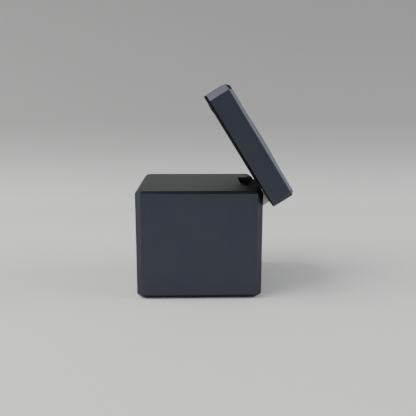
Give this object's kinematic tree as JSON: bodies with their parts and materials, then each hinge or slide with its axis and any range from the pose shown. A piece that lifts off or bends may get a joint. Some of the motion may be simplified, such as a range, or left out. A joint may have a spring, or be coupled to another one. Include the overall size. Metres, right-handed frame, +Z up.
{
  "type": "folding wireless charging cube",
  "caption": "Chamfered grey cube with a flat deck, a round-pad lid tilted open on a friction hinge, a slide-out charging drawer and a rubber foot.",
  "frame": {"origin": "centre of the foot's underside, on the table", "axes": "+Z up; +X towards the hinge side, the way the lid leans; the drawer slides out along +Y and the power inlet is on the -X side"},
  "size_m": [0.0766, 0.062, 0.1044],
  "materials": {
    "grey_metal": "bead-blasted, anodised dark blue-grey",
    "deck": "fine matte, slightly lighter grey",
    "inner_plastic": "moulded, matte black",
    "black_plastic": "matte black",
    "chip": "moulded package, matte",
    "choke": "pressed powder, matte",
    "can": "drawn can, satin",
    "ferrite": "sintered sheet, matte",
    "copper": "varnished copper wire",
    "lead_wire": "enamelled copper wire",
    "board_green": "laminate with green mask",
    "connector": "ivory moulding",
    "bright_steel": "stamped sheet, plain",
    "spring_steel": "hardened, oiled",
    "screw_steel": "plated",
    "magnet": "nickel-plated sintered magnet",
    "arm_metal": "satin, warm grey",
    "brass_part": "turned",
    "led": "white moulding",
    "clear": "clear acrylic, polished end",
    "ballast_steel": "zinc-plated block",
    "foot_rubber": "fine grain, matte",
    "pad_silicone": "soft-touch silicone, matte",
    "puck_face": "satin white-grey, dished",
    "cable_jacket": "round black jacket",
    "flex": "amber film with copper tracks"
  },
  "bodies": {
    "cube": {"body_shell": "grey_metal", "deck_plate": "deck", "coil_carrier": "inner_plastic", "earbud_ferrite": "ferrite", "earbud_coil": "copper", "earbud_leads": "lead_wire", "bay_frame": "inner_plastic", "bay_screws": "screw_steel", "bay_magnet": "magnet", "drawer_flex_fixed": "flex", "hinge_well": "black_plastic", "hinge_bracket": "bright_steel", "lid_cable_lower": "cable_jacket", "main_board": "board_green", "board_screws": "screw_steel", "standoffs": "brass_part", "board_chips": "chip", "inductors": "choke", "capacitors": "can", "board_connectors": "connector", "usb_shell": "bright_steel", "usb_tongue": "black_plastic", "status_led": "led", "light_pipe": "clear", "ballast": "ballast_steel", "base_plate": "inner_plastic", "base_screws": "screw_steel", "foot_pad": "foot_rubber"},
    "lid": {"lid_frame": "grey_metal", "lid_cover": "black_plastic", "lid_bumpers": "foot_rubber", "hinge_arm": "arm_metal", "arm_screws": "screw_steel", "hinge_pins": "screw_steel", "disc_springs": "spring_steel", "hinge_nuts": "screw_steel", "arm_cover": "black_plastic", "hinge_plate": "bright_steel", "plate_screws": "screw_steel", "pad_cover": "pad_silicone", "pad_carrier": "inner_plastic", "magnet_yoke": "bright_steel", "magnet_ring": "magnet", "phone_ferrite": "ferrite", "phone_coil": "copper", "phone_leads": "lead_wire", "lid_board": "board_green", "lid_board_posts": "brass_part", "lid_chips": "chip", "lid_cable_upper": "cable_jacket"},
    "drawer": {"drawer_front": "grey_metal", "drawer_tray": "inner_plastic", "drawer_screws": "screw_steel", "tray_magnet": "magnet", "puck_housing": "black_plastic", "puck_cover": "puck_face", "puck_ferrite": "ferrite", "puck_coil": "copper", "puck_magnet": "magnet", "drawer_flex_moving": "flex"}
  },
  "joints": [
    {"name": "lid_hinge", "type": "hinge", "parent": "cube", "child": "lid", "pos_m": [0.0255, 0, 0.046], "axis": [0, 1, 0], "range_deg": [-58, 2]},
    {"name": "drawer_slide", "type": "slide", "parent": "cube", "child": "drawer", "axis": [0, 1, 0], "range_m": [0, 0.036]}
  ]
}
